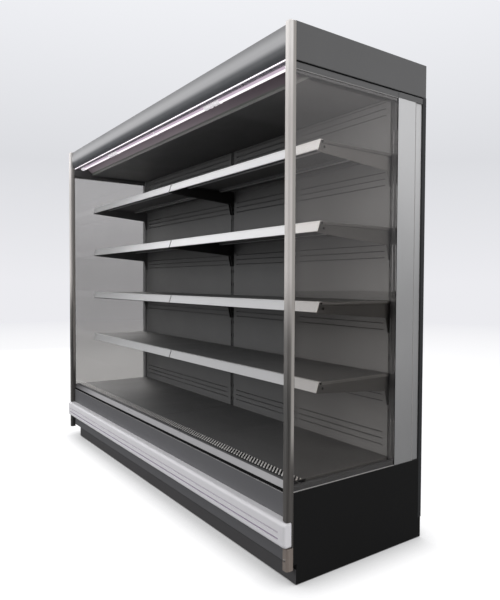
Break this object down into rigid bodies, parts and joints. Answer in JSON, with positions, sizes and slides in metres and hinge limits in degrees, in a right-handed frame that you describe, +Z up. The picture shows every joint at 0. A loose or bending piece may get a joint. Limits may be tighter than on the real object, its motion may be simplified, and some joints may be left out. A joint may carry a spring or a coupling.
{
  "type": "open multideck display fridge",
  "caption": "Open-front chilled display cabinet with glass end walls, tilted price rails on hooked shelves, a lit canopy and a full-width trolley bumper.",
  "frame": {"origin": "on the floor under the middle of the whole footprint, bumper included", "axes": "+X along the front to the right as a shopper sees it, +Y from the front to the back wall, +Z up"},
  "size_m": [2.58, 0.78, 2.085],
  "materials": {
    "frame_steel": "satin",
    "foot_plastic": "matte",
    "tub_skin": "satin",
    "kick_paint": "satin",
    "front_paint": "satin",
    "bumper_plastic": "satin",
    "sill_aluminium": "brushed",
    "grille_steel": "satin",
    "wall_skin": "satin",
    "fascia_paint": "satin",
    "vane_aluminium": "satin",
    "housing_paint": "satin",
    "inner_paint": "satin",
    "lamp_glass": "frosted",
    "holder_plastic": "gloss",
    "upright_paint": "satin",
    "motor_paint": "matte",
    "coil_aluminium": "satin",
    "post_aluminium": "brushed",
    "end_paint": "satin",
    "cap_paint": "satin",
    "end_pane": "clear",
    "cover_paint": "satin",
    "deck_paint": "satin",
    "fan_plastic": "matte",
    "shelf_paint": "satin",
    "bracket_paint": "satin",
    "rail_plastic": "gloss"
  },
  "bodies": {
    "cabinet": {"base_frame": "frame_steel", "levelling_feet": "foot_plastic", "base_tub": "tub_skin", "front_panel": "front_paint", "bumper": "bumper_plastic", "front_sill": "sill_aluminium", "back_wall": "wall_skin", "canopy_roof": "wall_skin", "canopy_fascia": "fascia_paint", "air_honeycomb": "vane_aluminium", "lamp_housing": "housing_paint", "canopy_ceiling": "inner_paint", "lamp_tubes": "lamp_glass", "lamp_holders": "holder_plastic", "slotted_uprights": "upright_paint", "fan_plate": "tub_skin", "fan_motors": "motor_paint", "evaporator": "coil_aluminium", "front_post_left": "post_aluminium", "end_base_panel_left": "end_paint", "end_top_panel_left": "cap_paint", "end_glass_left": "end_pane", "end_rear_cover_left": "cover_paint", "rear_panel_left": "inner_paint", "front_post_right": "post_aluminium", "end_base_panel_right": "end_paint", "end_top_panel_right": "cap_paint", "end_glass_right": "end_pane", "end_rear_cover_right": "cover_paint", "rear_panel_right": "inner_paint"},
    "shelf_1_left": {"shelf_1_left": "shelf_paint", "shelf_brackets_1_left": "bracket_paint", "price_rail_1_left": "rail_plastic"},
    "shelf_2_left": {"shelf_2_left": "shelf_paint", "shelf_brackets_2_left": "bracket_paint", "price_rail_2_left": "rail_plastic"},
    "shelf_3_left": {"shelf_3_left": "shelf_paint", "shelf_brackets_3_left": "bracket_paint", "price_rail_3_left": "rail_plastic"},
    "shelf_4_left": {"shelf_4_left": "shelf_paint", "shelf_brackets_4_left": "bracket_paint", "price_rail_4_left": "rail_plastic"},
    "shelf_1_right": {"shelf_1_right": "shelf_paint", "shelf_brackets_1_right": "bracket_paint", "price_rail_1_right": "rail_plastic"},
    "shelf_2_right": {"shelf_2_right": "shelf_paint", "shelf_brackets_2_right": "bracket_paint", "price_rail_2_right": "rail_plastic"},
    "shelf_3_right": {"shelf_3_right": "shelf_paint", "shelf_brackets_3_right": "bracket_paint", "price_rail_3_right": "rail_plastic"},
    "shelf_4_right": {"shelf_4_right": "shelf_paint", "shelf_brackets_4_right": "bracket_paint", "price_rail_4_right": "rail_plastic"},
    "deck_pan_left": {"deck_pan_left": "deck_paint"},
    "deck_pan_right": {"deck_pan_right": "deck_paint"},
    "fan_rotor_left": {"fan_rotor_left": "fan_plastic"},
    "fan_rotor_right": {"fan_rotor_right": "fan_plastic"},
    "return_grille": {"return_grille": "grille_steel"},
    "kick_plate": {"kick_plate": "kick_paint"}
  },
  "joints": [
    {"name": "shelf_1_left_unhook", "type": "hinge", "parent": "cabinet", "child": "shelf_1_left", "pos_m": [-0.625, 0.227, 1.6662], "axis": [-1, 0, 0], "range_deg": [0, 15]},
    {"name": "shelf_2_left_unhook", "type": "hinge", "parent": "cabinet", "child": "shelf_2_left", "pos_m": [-0.625, 0.227, 1.3522], "axis": [-1, 0, 0], "range_deg": [0, 15]},
    {"name": "shelf_3_left_unhook", "type": "hinge", "parent": "cabinet", "child": "shelf_3_left", "pos_m": [-0.625, 0.227, 1.0382], "axis": [-1, 0, 0], "range_deg": [0, 15]},
    {"name": "shelf_4_left_unhook", "type": "hinge", "parent": "cabinet", "child": "shelf_4_left", "pos_m": [-0.625, 0.227, 0.7242], "axis": [-1, 0, 0], "range_deg": [0, 15]},
    {"name": "deck_pan_left_lift", "type": "slide", "parent": "cabinet", "child": "deck_pan_left", "axis": [0, 0, 1], "range_m": [0, 0.15]},
    {"name": "fan_left_spin", "type": "hinge", "parent": "cabinet", "child": "fan_rotor_left", "pos_m": [-0.625, -0.236, 0.2375], "axis": [0, 1, 0], "continuous": true},
    {"name": "shelf_1_right_unhook", "type": "hinge", "parent": "cabinet", "child": "shelf_1_right", "pos_m": [0.625, 0.227, 1.6662], "axis": [-1, 0, 0], "range_deg": [0, 15]},
    {"name": "shelf_2_right_unhook", "type": "hinge", "parent": "cabinet", "child": "shelf_2_right", "pos_m": [0.625, 0.227, 1.3522], "axis": [-1, 0, 0], "range_deg": [0, 15]},
    {"name": "shelf_3_right_unhook", "type": "hinge", "parent": "cabinet", "child": "shelf_3_right", "pos_m": [0.625, 0.227, 1.0382], "axis": [-1, 0, 0], "range_deg": [0, 15]},
    {"name": "shelf_4_right_unhook", "type": "hinge", "parent": "cabinet", "child": "shelf_4_right", "pos_m": [0.625, 0.227, 0.7242], "axis": [-1, 0, 0], "range_deg": [0, 15]},
    {"name": "deck_pan_right_lift", "type": "slide", "parent": "cabinet", "child": "deck_pan_right", "axis": [0, 0, 1], "range_m": [0, 0.15]},
    {"name": "fan_right_spin", "type": "hinge", "parent": "cabinet", "child": "fan_rotor_right", "pos_m": [0.625, -0.236, 0.2375], "axis": [0, 1, 0], "continuous": true},
    {"name": "return_grille_lift", "type": "slide", "parent": "cabinet", "child": "return_grille", "axis": [0, 0, 1], "range_m": [0, 0.1]},
    {"name": "kick_plate_pull", "type": "slide", "parent": "cabinet", "child": "kick_plate", "axis": [0, -1, 0], "range_m": [0, 0.1]}
  ]
}
